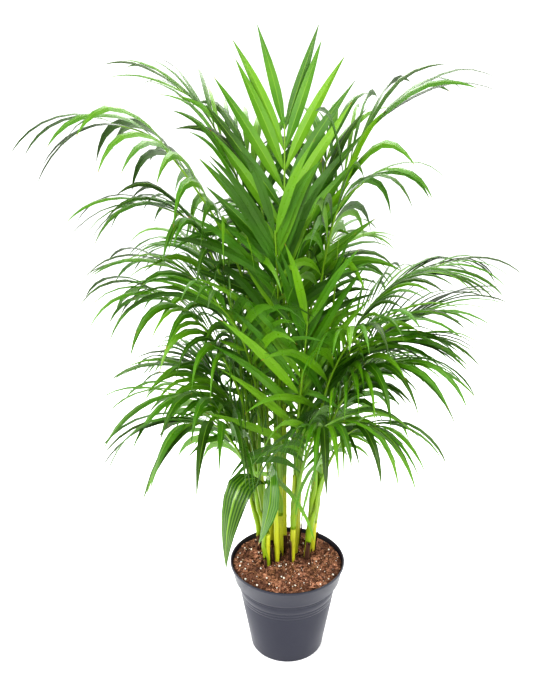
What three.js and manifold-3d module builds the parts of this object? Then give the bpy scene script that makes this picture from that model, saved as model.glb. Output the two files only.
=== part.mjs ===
// A young areca palm in a plastic nursery pot: the pot, its potting soil, a clump of canes, and
// on the canes feather-shaped fronds, rolled spear leaves and two early leaves with forked blades.
// Millimetres, +Z up, origin at the middle of the pot's underside.
import * as THREE from 'three';
import { ConvexHull } from 'three/addons/math/ConvexHull.js';
import { mergeVertices } from 'three/addons/utils/BufferGeometryUtils.js';
import Module from 'manifold-3d';

const wasm = await Module();
wasm.setup();

// ---- driving dimensions ----

const pot = {
  height: 175,
  rimRadius: 105,
  footRadius: 67.5,
  footRound: 3,
  wall: 2.2,
  floor: 2.6,
  collarHeight: 33,
  collarStep: 5.5,
  collarTaper: 7.5,
  sides: 40,
  drainHoles: 6,
  drainRadius: 6,
  drainCircle: 42,
  drainSides: 8,
};

const soil = {
  belowRim: 8,
  moundRise: 15,
  sides: 32,
};

const cane = {
  footRadius: 6.4,
  topRadius: 4.2,
  rootDepth: 34,
  sides: 6,
  rows: 3,
};

// The whole palm: how high its tallest frond reaches above the soil and how far its widest one
// reaches out from its foot. The list of fronds is drawn for these two sizes.
const palm = { height: 788, reach: 247 };
const drawn = { height: 788, reach: 247 };

const frond = {
  stalkRadius: 3.9, // where it leaves the cane
  tipRadius: 1.4,
  tipLength: 8, // of stalk past the last pair of leaflets
  rootHeight: 6, // of a leaflet along the stalk
  stalkRings: 5, // below the first pair
};

const leaflet = {
  keel: 1.2, // above the middle line
  under: 0.4, // below it
  stations: 12, // along a leaflet's middle line
  widest: 4, // the station where it is widest
  waist: 8, // the station where it starts to run out to its point
  waistShare: 0.72,
};

const spear = {
  radius: 2.9,
  belly: 3.4,
  sides: 5,
  rows: 4,
};

const gap = 0.35; // left between pieces that touch
const thirdRoot = Math.sqrt(3);

// Where each cane stands, how far its top leans from its foot, and how tall it is above the soil.
const canes = [
  { foot: [-7, 22], lean: [0, 2], tall: 300 },
  { foot: [-27, 38], lean: [-12, 8], tall: 290 },
  { foot: [20, 42], lean: [10, 6], tall: 310 },
  { foot: [-11, 0], lean: [-4, -4], tall: 250 },
  { foot: [15, 12], lean: [8, -2], tall: 270 },
  { foot: [-49, 29], lean: [-16, 2], tall: 230 },
  { foot: [-34, 8], lean: [-16, -8], tall: 210 },
  { foot: [-18, -14], lean: [-4, -8], tall: 150 },
  { foot: [9, -14], lean: [2, -14], tall: 190 },
  { foot: [35, -4], lean: [14, -10], tall: 200 },
  { foot: [45, 21], lean: [18, 2], tall: 230 },
  { foot: [42, 49], lean: [14, 12], tall: 210 },
  { foot: [16, 67], lean: [4, 18], tall: 220 },
  { foot: [-16, 65], lean: [-6, 16], tall: 230 },
  { foot: [-43, 54], lean: [-14, 12], tall: 220 },
  { foot: [-36, -24], lean: [1, -8], tall: 75 },
];

// Each frond leaves its cane at a height above the soil and arches out along its heading, in
// degrees round the pot from +X. Neck, bend and tip are out from the cane's foot and up from the
// ground: the first leaflets grow at the neck and the last pair near the tip. Long and wide are the
// largest leaflet's, droop is how far it bows under its own weight and open how far it stands off.
// cane, heading, from, neck, bend, tip, pairs, long, wide, droop, open
const earlyLeafList = [
  [16, 264, 40, [10, 290], [18, 338], [32, 362], 1, 262, 58, 4.2, 0.8],
  [4, 204, 150, [22, 370], [27, 400], [32, 424], 1, 135, 22, 0.3, 1.4],
];
const frondList = [
  [1, 90, 250, [20, 640], [34, 815], [50, 940], 10, 228, 20, 0.2, 1],
  [2, 190, 250, [52, 700], [166, 900], [247, 942], 12, 235, 17, 1.9, 1],
  [2, 157, 215, [30, 740], [106, 940], [172, 1000], 11, 185, 14, 0.8, 0.8],
  [3, 12, 260, [38, 690], [85, 890], [150, 965], 10, 255, 18, 1.1, 0.9],
  [5, -20, 225, [33, 650], [62, 805], [105, 856], 9, 200, 14, 1.9, 1],
  [3, 60, 220, [32, 680], [66, 830], [112, 912], 9, 215, 18, 1.0, 1],
  [1, 130, 215, [34, 690], [70, 835], [116, 922], 9, 210, 17, 1.0, 1],
  [14, 96, 190, [52, 590], [112, 715], [200, 785], 9, 215, 17, 1.5, 1],
  [6, 184, 190, [44, 630], [104, 780], [176, 820], 10, 210, 17, 1.6, 0.9],
  [15, 168, 180, [46, 550], [113, 672], [193, 715], 9, 200, 16, 1.4, 0.9],
  [7, 190, 170, [40, 470], [101, 612], [188, 686], 10, 205, 18, 1.8, 0.9],
  [11, 5, 190, [50, 560], [118, 672], [222, 720], 11, 185, 14, 1.3, 0.8],
  [11, -10, 150, [42, 470], [95, 582], [178, 650], 9, 225, 17, 0.9, 0.9],
  [15, 138, 150, [48, 560], [110, 682], [200, 736], 9, 205, 16, 1.5, 1],
  [13, 106, 160, [48, 470], [112, 585], [200, 640], 9, 205, 17, 1.6, 1],
  [13, 66, 190, [50, 570], [116, 690], [210, 742], 9, 205, 16, 1.5, 1],
  [13, 112, 190, [44, 630], [102, 745], [186, 800], 9, 200, 15, 1.5, 0.9],
  [9, 278, 160, [20, 420], [44, 545], [68, 650], 8, 215, 20, 0.4, 1],
  [4, 262, 220, [22, 560], [50, 690], [84, 790], 9, 220, 20, 0.6, 1],
  [7, 236, 150, [32, 500], [80, 625], [144, 695], 8, 215, 18, 1.2, 1],
  [10, 308, 160, [32, 480], [80, 595], [142, 655], 8, 215, 18, 1.3, 1],
  [9, 296, 130, [30, 370], [76, 460], [130, 500], 7, 200, 18, 1.9, 1],
  [6, 176, 140, [30, 390], [86, 500], [158, 532], 9, 200, 17, 1.5, 0.9],
  [6, 204, 90, [30, 380], [96, 490], [166, 516], 9, 205, 19, 1.8, 0.9],
  [7, 222, 90, [44, 360], [106, 464], [176, 492], 8, 230, 22, 2.2, 1],
  [11, -24, 120, [29, 440], [87, 570], [164, 612], 9, 205, 16, 1.6, 0.9],
  [10, -42, 130, [31, 420], [84, 540], [158, 582], 9, 215, 18, 2.1, 0.9],
  [12, 22, 140, [32, 390], [88, 495], [156, 530], 8, 195, 15, 1.6, 0.9],
  [12, 58, 110, [32, 370], [88, 470], [156, 510], 8, 190, 16, 1.6, 1],
  [14, 98, 120, [32, 350], [88, 445], [160, 480], 8, 190, 16, 1.7, 1],
  [15, 128, 110, [32, 380], [88, 480], [156, 515], 8, 190, 16, 1.6, 1],
  [6, 156, 110, [30, 400], [84, 500], [154, 540], 8, 190, 15, 1.5, 0.9],
  [13, 80, 90, [30, 360], [84, 450], [150, 480], 7, 180, 16, 1.7, 1],
  [10, 336, 100, [30, 352], [78, 448], [132, 474], 7, 200, 18, 2.1, 1],
];

// Rolled leaves that have not opened yet: the cane each one stands on, and where its point is.
const spears = [
  { cane: 11, point: [80, 12, 765] },
  { cane: 5, point: [60, 2, 705] },
  { cane: 3, point: [34, 66, 860] },
  { cane: 15, point: [-72, 78, 640] },
  { cane: 13, point: [30, 112, 610] },
];

// ---- small vectors and solids ----

const up = new THREE.Vector3(0, 0, 1);
const soilEdge = pot.height - soil.belowRim;

function vec(x, y, z) {
  return new THREE.Vector3(x, y, z);
}

function sum(base, ...terms) {
  const total = base.clone();
  for (const [direction, amount] of terms) {
    total.addScaledVector(direction, amount);
  }
  return total;
}

// The part of a direction that stands square to an axis.
function across(direction, axis) {
  return sum(direction, [axis, -direction.dot(axis)]).normalize();
}

function compass(degrees) {
  const angle = THREE.MathUtils.degToRad(degrees);
  return vec(Math.cos(angle), Math.sin(angle), 0);
}

function toSolid(geometry) {
  geometry.deleteAttribute('normal');
  geometry.deleteAttribute('uv');
  const merged = mergeVertices(geometry, 1e-4);
  const mesh = new wasm.Mesh({
    numProp: 3,
    vertProperties: new Float32Array(merged.attributes.position.array),
    triVerts: new Uint32Array(merged.index.array),
  });
  return new wasm.Manifold(mesh);
}

function toGeometry(solid) {
  const mesh = solid.getMesh();
  const geometry = new THREE.BufferGeometry();
  const places = new Float32Array(mesh.vertProperties);
  geometry.setAttribute('position', new THREE.BufferAttribute(places, 3));
  geometry.setIndex(new THREE.BufferAttribute(new Uint32Array(mesh.triVerts), 1));
  geometry.computeVertexNormals();
  return geometry;
}

// Rows of a straight primitive laid on a path. At each row, station() gives the centre of the
// section and the two half-axes that it is drawn with, the second one towards the upper side.
function bend(primitive, rows, station) {
  primitive.deleteAttribute('normal');
  primitive.deleteAttribute('uv');
  const shape = mergeVertices(primitive, 1e-4);
  const place = shape.attributes.position;
  for (let i = 0; i < place.count; i += 1) {
    const row = Math.round((place.getY(i) + 0.5) * rows);
    const turn = Math.atan2(place.getX(i), place.getZ(i));
    const onAxis = Math.hypot(place.getX(i), place.getZ(i)) < 1e-6;
    const { centre, side, rise } = station(row);
    const point = onAxis ? centre : sum(centre, [side, Math.sin(turn)], [rise, Math.cos(turn)]);
    place.setXYZ(i, point.x, point.y, point.z);
  }
  return toSolid(shape);
}

function pointed(sides, rows, station) {
  return bend(new THREE.ConeGeometry(1, 1, sides, rows), rows, station);
}

function blunt(sides, rows, station) {
  return bend(new THREE.CylinderGeometry(1, 1, 1, sides, rows), rows, station);
}

// The centre and half-axes of a three-sided section, from its ridge and its two lower corners.
function threeSided([left, ridge, right]) {
  const centre = sum(vec(0, 0, 0), [left, 1 / 3], [ridge, 1 / 3], [right, 1 / 3]);
  const side = right.clone().sub(left).multiplyScalar(1 / thirdRoot);
  return { centre, side, rise: ridge.clone().sub(centre) };
}

// A smooth curve through a few points, measured along its length.
function measured(points) {
  const pieces = 60;
  const curve = new THREE.CatmullRomCurve3(points, false, 'catmullrom', 0.5);
  const places = [curve.getPoint(0)];
  const lengths = [0];
  for (let i = 1; i <= pieces; i += 1) {
    places.push(curve.getPoint(i / pieces));
    lengths.push(lengths[i - 1] + places[i].distanceTo(places[i - 1]));
  }
  function at(length) {
    let i = 1;
    while (i < pieces && lengths[i] < length) {
      i += 1;
    }
    const share = (length - lengths[i - 1]) / (lengths[i] - lengths[i - 1]);
    const tangent = places[i].clone().sub(places[i - 1]).normalize();
    return { point: places[i - 1].clone().lerp(places[i], share), tangent };
  }
  return { total: lengths[pieces], toSecond: lengths[pieces / (points.length - 1)], at };
}

// A steady scatter between -1 and 1 from two counting numbers.
function scatter(a, b) {
  const value = Math.sin(a * 12.9898 + b * 78.233) * 437.5853;
  return 2 * (value - Math.floor(value)) - 1;
}

// ---- what already stands where, so that nothing grows through anything else ----

const standing = [];

function boxed(solid) {
  return { box: solid.boundingBox(), solid };
}

function remember(solid) {
  standing.push(boxed(solid));
}

function boxesMeet(a, b) {
  return [0, 1, 2].every((axis) => a.min[axis] < b.max[axis] && b.min[axis] < a.max[axis]);
}

function isFree(solid, others = standing) {
  const box = solid.boundingBox();
  return others.every((other) => {
    return !boxesMeet(box, other.box) || other.solid.intersect(solid).isEmpty();
  });
}

// ---- the pot and its soil ----

const collarFoot = pot.height - pot.collarHeight;
const collarFootRadius = pot.rimRadius - pot.collarTaper;
const bodyTopRadius = collarFootRadius - pot.collarStep;

// A turned solid, stood up on Z.
function turned(profile, sides) {
  const points = profile.map(([radius, height]) => new THREE.Vector2(radius, height));
  return toSolid(new THREE.LatheGeometry(points, sides)).rotate([90, 0, 0]);
}

function makePot() {
  const ledge = collarFoot + pot.wall;
  const shell = turned([
    [0, 0],
    [pot.footRadius - pot.footRound, 0],
    [pot.footRadius, pot.footRound],
    [bodyTopRadius, collarFoot],
    [collarFootRadius, collarFoot],
    [pot.rimRadius, pot.height],
    [pot.rimRadius - pot.wall, pot.height],
    [collarFootRadius - pot.wall, ledge],
    [bodyTopRadius - pot.wall, ledge],
    [pot.footRadius - pot.wall, pot.floor],
    [0, pot.floor],
  ], pot.sides);
  let body = shell;
  for (let hole = 0; hole < pot.drainHoles; hole += 1) {
    const centre = compass((360 * hole) / pot.drainHoles).multiplyScalar(pot.drainCircle);
    const deep = pot.floor * 4;
    const plug = new THREE.CylinderGeometry(pot.drainRadius, pot.drainRadius, deep, pot.drainSides);
    plug.rotateX(Math.PI / 2);
    plug.translate(centre.x, centre.y, 0);
    body = body.subtract(toSolid(plug));
  }
  return body;
}

// The soil fills the pot up to a little under the rim and is heaped round the canes' feet.
function makeSoil(sockets) {
  const ledge = collarFoot + pot.wall + gap;
  const slope = pot.collarTaper / (pot.collarHeight - pot.wall);
  const inset = pot.wall + 1.3 * gap;
  const edge = collarFootRadius + (soilEdge - ledge) * slope - inset;
  const heap = turned([
    [0, pot.floor + gap],
    [pot.footRadius - inset, pot.floor + gap],
    [bodyTopRadius - inset, ledge],
    [collarFootRadius - inset, ledge],
    [edge, soilEdge],
    [edge * 0.72, soilEdge + soil.moundRise * 0.45],
    [edge * 0.36, soilEdge + soil.moundRise * 0.9],
    [0, soilEdge + soil.moundRise],
  ], soil.sides);
  return sockets.reduce((rest, socket) => rest.subtract(socket), heap);
}

// ---- canes and spears ----

// The axis of a cane, at a height above the soil's edge.
function canePoint(one, height) {
  const share = height / one.tall;
  const x = one.foot[0] + one.lean[0] * share;
  const y = one.foot[1] + one.lean[1] * share;
  return vec(x, y, soilEdge + height);
}

function caneRadius(one, height) {
  return THREE.MathUtils.lerp(cane.footRadius, cane.topRadius, Math.max(0, height / one.tall));
}

function makeCane(one, margin) {
  return blunt(cane.sides, cane.rows, (row) => {
    const share = row / cane.rows;
    const height = THREE.MathUtils.lerp(-cane.rootDepth - margin, one.tall + margin, share);
    const radius = caneRadius(one, height) + margin;
    return { centre: canePoint(one, height), side: vec(radius, 0, 0), rise: vec(0, -radius, 0) };
  });
}

function makeSpear(one, margin) {
  const bearer = canes[one.cane - 1];
  const start = canePoint(bearer, bearer.tall).addScaledVector(up, 2 * gap);
  const end = frondHeight(vec(...one.point));
  return pointed(spear.sides, spear.rows, (row) => {
    const share = row / spear.rows;
    const swell = Math.sin(Math.PI * share) * (spear.belly - spear.radius);
    const radius = THREE.MathUtils.lerp(spear.radius, spear.radius * 0.4, share) + swell + margin;
    return { centre: start.clone().lerp(end, share), side: vec(radius, 0, 0), rise: vec(0, -radius, 0) };
  });
}

// ---- fronds ----

function frondHeight(point) {
  const rise = (point.z - soilEdge) * (palm.height / drawn.height);
  return vec(point.x, point.y, soilEdge + rise);
}

function readFrond(row) {
  const [caneNumber, heading, from, neck, bendAt, tip, pairs, long, wide, droop, open] = row;
  const blade = { pairs, long, wide, droop, open };
  return { bearer: canes[caneNumber - 1], heading, from, path: [neck, bendAt, tip], ...blade };
}

const fronds = [...earlyLeafList, ...frondList].map(readFrond);

function frondLine(one, { turn, around, lower }) {
  const from = one.from - lower;
  const out = compass(one.heading + turn);
  const beside = caneRadius(one.bearer, from) + frond.stalkRadius + 2 * gap;
  const foot = canePoint(one.bearer, from);
  const points = [foot.addScaledVector(compass(one.heading + turn + around), beside)];
  for (const [away, height] of one.path) {
    const reach = away * (palm.reach / drawn.reach);
    const above = frondHeight(vec(one.bearer.foot[0], one.bearer.foot[1], height));
    points.push(above.addScaledVector(out, reach));
  }
  return { ...measured(points), left: compass(one.heading + turn + 90) };
}

// Which ways are left and up on a frond, at a length along it.
function frondSense(line, length) {
  const { point, tangent } = line.at(length);
  const left = across(line.left, tangent);
  return { point, tangent, left, upper: tangent.clone().cross(left) };
}

// The stalk's section at a length along it: its left corner, its ridge and its right corner.
function stalkRing(line, length, margin) {
  const { point, left, upper } = frondSense(line, length);
  const radius = THREE.MathUtils.lerp(frond.stalkRadius, frond.tipRadius, length / line.total) + margin;
  return [
    sum(point, [left, 0.87 * radius], [upper, -0.5 * radius]),
    sum(point, [upper, radius]),
    sum(point, [left, -0.87 * radius], [upper, -0.5 * radius]),
  ];
}

// Where the leaflets have their roots, as a length along the frond.
function rootLength(one, line, pair) {
  return THREE.MathUtils.lerp(line.total - frond.tipLength, line.toSecond, 1 - pairShare(one, pair));
}

function pairShare(one, pair) {
  return one.pairs > 1 ? pair / (one.pairs - 1) : 1;
}

// Where the stalk has its rings: evenly spaced below the first pair, then one on each side of
// every pair's root, and last its point.
function ringLengths(one, line) {
  const lengths = [];
  for (let ring = 0; ring < frond.stalkRings; ring += 1) {
    lengths.push((line.toSecond * ring) / frond.stalkRings);
  }
  for (let pair = 0; pair < one.pairs; pair += 1) {
    const root = rootLength(one, line, pair);
    lengths.push(root - frond.rootHeight / 2, root + frond.rootHeight / 2);
  }
  return [...lengths, line.total];
}

// The room that the bare stalk takes.
function stalkRoom(one, line, margin) {
  const lengths = ringLengths(one, line);
  return pointed(3, lengths.length - 1, (row) => {
    return threeSided(stalkRing(line, lengths[row], margin));
  });
}

// How a leaflet starts: forward along the frond, out to its side and a little upwards.
function leafletStart(one, line, number, pair, hand, trial) {
  const share = pairShare(one, pair);
  const { point, tangent, left, upper } = frondSense(line, rootLength(one, line, pair));
  const loose = scatter(number, pair * 2 + hand);
  const spread = (14 + 36 * (1 - share) ** 0.8) * one.open + 4 * loose + trial.turn;
  const lift = 6 + 14 * (1 - share) + 7 * scatter(pair + 31, number + hand) + trial.lift;
  const spreadAngle = THREE.MathUtils.degToRad(spread);
  const liftAngle = THREE.MathUtils.degToRad(lift);
  const aside = sum(vec(0, 0, 0), [left, hand * Math.cos(liftAngle)], [upper, Math.sin(liftAngle)]);
  const way = sum(vec(0, 0, 0), [tangent, Math.cos(spreadAngle)], [aside, Math.sin(spreadAngle)]);
  const length = one.long * (1 - 0.26 * share ** 3 - 0.2 * (1 - share) ** 2) * (1 + 0.05 * loose);
  return {
    point,
    way: way.normalize(),
    upper,
    length: length * trial.share,
    width: one.wide * (0.72 + 0.28 * Math.sin(Math.PI * (0.15 + 0.7 * share))),
    droop: one.droop * (1 + 0.3 * scatter(number + 7, pair * 3 + hand)) * trial.share,
  };
}

// The middle line of a leaflet: it starts the way it grows and bows down under its own weight.
function leafletLine(start) {
  const step = start.length / leaflet.stations;
  const places = [{ point: start.point, way: start.way, upper: across(start.upper, start.way) }];
  for (let i = 0; i < leaflet.stations; i += 1) {
    const share = (i + 0.5) / leaflet.stations;
    const way = sum(start.way, [up, -start.droop * share ** 1.4]).normalize();
    const upper = across(places[i].upper, way);
    places.push({ point: sum(places[i].point, [way, step]), way, upper });
  }
  return places;
}

// A leaflet's section: one edge, the keel along its upper side, the other edge.
function leafletSection({ point, way, upper }, width, margin) {
  const side = upper.clone().cross(way);
  const half = width / 2 + margin;
  const under = leaflet.under + margin;
  return [
    sum(point, [side, half], [upper, -under]),
    sum(point, [upper, leaflet.keel + margin]),
    sum(point, [side, -half], [upper, -under]),
  ];
}

// A leaflet's sections: where it is widest, at its waist, and its point.
function leafletSections(start, margin) {
  const places = leafletLine(start);
  const last = places[leaflet.stations];
  return [
    leafletSection(places[leaflet.widest], start.width, margin),
    leafletSection(places[leaflet.waist], start.width * leaflet.waistShare, margin),
    [sum(last.point, [last.way, margin])],
  ];
}

// The faces that run round from one section to the next, as a skin pulled tight over both.
function skinBetween(near, far) {
  const { faces } = new ConvexHull().setFromPoints([...near, ...far]);
  const triangles = faces.map(({ edge }) => [edge, edge.next, edge.prev].map((e) => e.head().point));
  return triangles.filter((triangle) => {
    const nearCount = triangle.filter((corner) => near.includes(corner)).length;
    return nearCount > 0 && nearCount < triangle.length;
  });
}

// A leaflet's skin from its root's four corners to its point.
function leafletSkin(root, start, margin) {
  const sections = [root, ...leafletSections(start, margin)];
  return sections.slice(1).flatMap((section, index) => skinBetween(sections[index], section));
}

// True if that skin is open only at its root, along the four edges there.
function isWhole(root, skin) {
  const edges = skin.flatMap(([a, b, c]) => [[a, b], [b, c], [c, a]]);
  const open = edges.filter(([a, b]) => !edges.some(([c, d]) => a === d && b === c));
  const atRoot = open.filter(([a, b]) => root.includes(a) && b === root[(root.indexOf(a) + 1) % 4]);
  return open.length === root.length && atRoot.length === root.length;
}

function skinToSolid(faces) {
  return toSolid(new THREE.BufferGeometry().setFromPoints(faces.flat()));
}

// The root's corners, on the left or the right face between two of the stalk's rings.
function leafletRoot(near, far, hand) {
  return hand > 0 ? [near[0], near[1], far[1], far[0]] : [far[2], far[1], near[1], near[2]];
}

function rootCorners(one, line, pair, hand, margin) {
  const length = rootLength(one, line, pair);
  const half = frond.rootHeight / 2 + margin;
  const near = stalkRing(line, length - half, margin);
  return leafletRoot(near, stalkRing(line, length + half, margin), hand);
}

// The room that a whole leaflet takes, from its root on the stalk to its point.
function leafletRoom([r0, r1, r2, r3], skin) {
  return skinToSolid([...skin, [r0, r3, r2], [r0, r2, r1]]);
}

// The room that it takes past one of its stations, clear of its own stalk.
function outerRoom(start, first, margin) {
  const root = leafletSection(leafletLine(start)[0], frond.rootHeight, margin);
  const [widest, waist, [end]] = leafletSections(start, margin);
  const cut = root.map((corner, index) => corner.lerp(widest[index], first / leaflet.widest));
  const sections = [cut, widest, waist, [end, end, end]];
  return pointed(3, sections.length - 1, (row) => threeSided(sections[row]));
}

// What a leaflet tries until it has room: to turn, to lift or sink, and last to stay shorter.
const trials = [];
for (const share of [1, 0.8, 0.6, 0.42, 0.25]) {
  for (const lift of [0, 12, -12, 26, -26]) {
    for (const turn of [0, 9, -9, 18]) {
      trials.push({ turn, lift, share });
    }
  }
}

// The first of the trials that is clear of its own stalk past its root, of the frond's earlier
// leaflets and of all that stands. At their roots a pair's two leaflets touch along the ridge.
function chooseLeaflet(one, line, stalk, number, pair, hand, grown) {
  const beside = grown.map((other) => (other.hand === hand ? other.whole : other.outer));
  const starts = trials.map((trial) => leafletStart(one, line, number, pair, hand, trial));
  const root = rootCorners(one, line, pair, hand, 0);
  const roomyRoot = rootCorners(one, line, pair, hand, gap);
  return starts.find((start) => {
    const skin = leafletSkin(roomyRoot, start, gap);
    if (!isWhole(roomyRoot, skin) || !isWhole(root, leafletSkin(root, start, 0))) {
      return false;
    }
    const whole = leafletRoom(roomyRoot, skin);
    const clearOfStalk = outerRoom(start, 3, gap).intersect(stalk).isEmpty();
    return clearOfStalk && isFree(whole, beside) && isFree(whole);
  });
}

// A frond as one skin: the stalk's rings, with a leaflet drawn out of the left and the right face
// between the two rings at each root.
function makeFrond(one, line, leaflets) {
  const faces = [];

  function joinRings(near, far, pair) {
    const sides = [
      [leafletRoot(near, far, 1), pair?.left],
      [leafletRoot(near, far, -1), pair?.right],
      [[near[2], near[0], far[0], far[2]]],
    ];
    for (const [root, start] of sides) {
      const [r0, r1, r2, r3] = root;
      faces.push(...(start ? leafletSkin(root, start, 0) : [[r0, r1, r2], [r0, r2, r3]]));
    }
  }

  const [foot, ...lengths] = ringLengths(one, line);
  const end = line.at(lengths.pop()).point;
  let near = stalkRing(line, foot, 0);
  faces.push([near[1], near[0], near[2]]);
  lengths.forEach((length, index) => {
    const far = stalkRing(line, length, 0);
    const past = index + 1 - frond.stalkRings;
    joinRings(near, far, past % 2 === 1 ? leaflets[(past - 1) / 2] : undefined);
    near = far;
  });
  faces.push([near[0], near[1], end], [near[1], near[2], end], [near[2], near[0], end]);
  return skinToSolid(faces);
}

// ---- the object ----

const materials = {
  pot: new THREE.MeshStandardMaterial({ color: 0x4a4f59, roughness: 0.42, metalness: 0 }),
  soil: new THREE.MeshStandardMaterial({ color: 0x4b3022, roughness: 0.95, metalness: 0 }),
  cane: new THREE.MeshStandardMaterial({ color: 0x9aa83a, roughness: 0.5, metalness: 0 }),
  frond: new THREE.MeshStandardMaterial({ color: 0x4f8f1f, roughness: 0.45, metalness: 0 }),
  spear: new THREE.MeshStandardMaterial({ color: 0xa9c43a, roughness: 0.45, metalness: 0 }),
};

const pottedPalm = new THREE.Group();

function place(name, solid, material) {
  const mesh = new THREE.Mesh(toGeometry(solid), material);
  mesh.name = name;
  pottedPalm.add(mesh);
}

const potBody = makePot();
place('pot', potBody, materials.pot);
remember(potBody);

const soilBody = makeSoil(canes.map((one) => makeCane(one, gap)));
place('potting_soil', soilBody, materials.soil);
remember(soilBody);

canes.forEach((one, index) => {
  place(`cane_${index + 1}`, makeCane(one, 0), materials.cane);
  remember(makeCane(one, gap / 2));
});

spears.forEach((one, index) => {
  place(`spear_leaf_${index + 1}`, makeSpear(one, 0), materials.spear);
  remember(makeSpear(one, gap / 2));
});

// A frond leaves its cane a little further round, and turns a little, until its stalk has room.
const stalkTrials = [];
function addStalkTrials(turns, arounds, lowers) {
  for (const turn of turns) {
    for (const around of arounds) {
      for (const lower of lowers) {
        stalkTrials.push({ turn, around, lower });
      }
    }
  }
}
addStalkTrials([0, 4, -4, 8, -8, 12, -12, 17, -17, 22, -22], [0, 30, -30, 60, -60, 90, -90], [0, 25]);
// a crowded clump or thicker stalks need more room than those give
const wideTurns = [0, 15, -15, 30, -30, 45, -45];
addStalkTrials(wideTurns, [0, 45, -45, 90, -90, 135, -135, 180], [40, -20, 60, -40, -60]);

function frondName(index) {
  const early = earlyLeafList.length;
  return index < early ? `early_leaf_${index + 1}` : `frond_${index + 1 - early}`;
}

const firstStalk = standing.length;
const lines = fronds.map((one) => {
  const choices = stalkTrials.map((trial) => frondLine(one, trial));
  const line = choices.find((choice) => isFree(stalkRoom(one, choice, gap))) ?? choices[0];
  remember(stalkRoom(one, line, gap / 2));
  return line;
});

fronds.forEach((one, index) => {
  const line = lines[index];
  const [own] = standing.splice(firstStalk + index, 1);
  const grown = [];
  const leaflets = [];
  for (let pair = 0; pair < one.pairs; pair += 1) {
    const [left, right] = [1, -1].map((hand) => {
      const start = chooseLeaflet(one, line, own.solid, index + 1, pair, hand, grown);
      if (start) {
        const root = rootCorners(one, line, pair, hand, gap / 2);
        const whole = boxed(leafletRoom(root, leafletSkin(root, start, gap / 2)));
        grown.push({ hand, whole, outer: boxed(outerRoom(start, 2, gap / 2)) });
      }
      return start;
    });
    leaflets.push({ left, right });
  }
  standing.splice(firstStalk + index, 0, own);
  standing.push(...grown.map((leaf) => leaf.whole));
  place(frondName(index), makeFrond(one, line, leaflets), materials.frond);
});

export default pottedPalm;
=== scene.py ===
import math
import random
import re

import bpy
import bmesh
from mathutils import Matrix, Vector, noise


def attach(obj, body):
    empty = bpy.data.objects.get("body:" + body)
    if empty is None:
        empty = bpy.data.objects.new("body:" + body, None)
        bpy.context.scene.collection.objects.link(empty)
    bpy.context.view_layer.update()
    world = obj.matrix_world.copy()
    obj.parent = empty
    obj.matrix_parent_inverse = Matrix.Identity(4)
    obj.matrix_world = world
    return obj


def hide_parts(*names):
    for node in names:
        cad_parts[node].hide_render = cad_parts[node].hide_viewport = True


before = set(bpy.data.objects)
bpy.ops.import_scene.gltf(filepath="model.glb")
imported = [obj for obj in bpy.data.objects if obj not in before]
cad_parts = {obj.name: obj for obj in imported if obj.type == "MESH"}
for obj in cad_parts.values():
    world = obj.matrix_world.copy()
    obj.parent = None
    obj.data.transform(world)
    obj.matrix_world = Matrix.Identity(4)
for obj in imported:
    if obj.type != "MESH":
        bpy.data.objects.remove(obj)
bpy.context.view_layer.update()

# Potted areca palm. The CAD solids give every piece's place: each one is redrawn here finely.
print("frame loaded,", len(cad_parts), "solids")

up = Vector((0, 0, 1))


# meshes

def mix(a, b, share):
    return a + (b - a) * share


def fromTable(table, share):
    for (s0, v0), (s1, v1) in zip(table, table[1:]):
        if share <= s1:
            return mix(v0, v1, (share - s0) / (s1 - s0))
    return table[-1][1]


def scatter(a, b):  # steady, between -1 and 1
    value = math.sin(a * 12.9898 + b * 78.233) * 437.5853
    return 2 * (value - math.floor(value)) - 1


def wrapGrid(bm, columns, rows, place, material=0, sharp=(), uvFrom=0.0):
    # a flat grid closed into a tube, with every corner put in its place
    uv = bm.loops.layers.uv.verify()
    made = bmesh.ops.create_grid(bm, x_segments=columns, y_segments=rows, size=1, calc_uvs=True)
    verts = made["verts"]
    columnOf = {}
    for vert in verts:
        column = round((vert.co.x + 1) * columns / 2)
        row = round((vert.co.y + 1) * rows / 2)
        columnOf[vert] = column % columns
        vert.co = place(column % columns, row)
    for face in {face for vert in verts for face in vert.link_faces}:
        face.material_index = material
        face.smooth = True
        for loop in face.loops:
            loop[uv].uv.y = uvFrom + 0.98 * loop[uv].uv.y
    for edge in {edge for vert in verts for edge in vert.link_edges}:
        first, second = (columnOf[vert] for vert in edge.verts)
        if first == second and first in sharp:
            edge.smooth = False


def tube(bm, columns, stations, section, **options):
    # stations are (centre, side, rise, radius); both ends are closed to a point
    last = len(stations) + 1

    def place(column, row):
        if row in (0, last):
            return stations[0 if row == 0 else -1][0]
        centre, side, rise, radius = stations[row - 1]
        across, above = section(2 * math.pi * column / columns, row / last)
        return centre + side * (radius * across) + rise * (radius * above)

    wrapGrid(bm, columns, last, place, **options)


def roundSection(angle, share):
    return math.cos(angle), math.sin(angle)


def squareTo(direction, axis):
    return (direction - axis * direction.dot(axis)).normalized()


def smoothPath(points, steps):
    # places and directions on a smooth curve through the points
    ends = [points[0] * 2 - points[1], *points, points[-1] * 2 - points[-2]]
    places = []
    for i in range(len(points) - 1):
        p0, p1, p2, p3 = ends[i:i + 4]
        count = steps + (i == len(points) - 2)
        for step in range(count):
            t = step / steps
            spot = 0.5 * (2 * p1 + (p2 - p0) * t + (2 * p0 - 5 * p1 + 4 * p2 - p3) * t ** 2
                          + (3 * p1 - p0 - 3 * p2 + p3) * t ** 3)
            slope = 0.5 * ((p2 - p0) + 2 * (2 * p0 - 5 * p1 + 4 * p2 - p3) * t
                           + 3 * (3 * p1 - p0 - 3 * p2 + p3) * t ** 2)
            places.append((spot, slope.normalized(), i + t))
    return places


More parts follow.
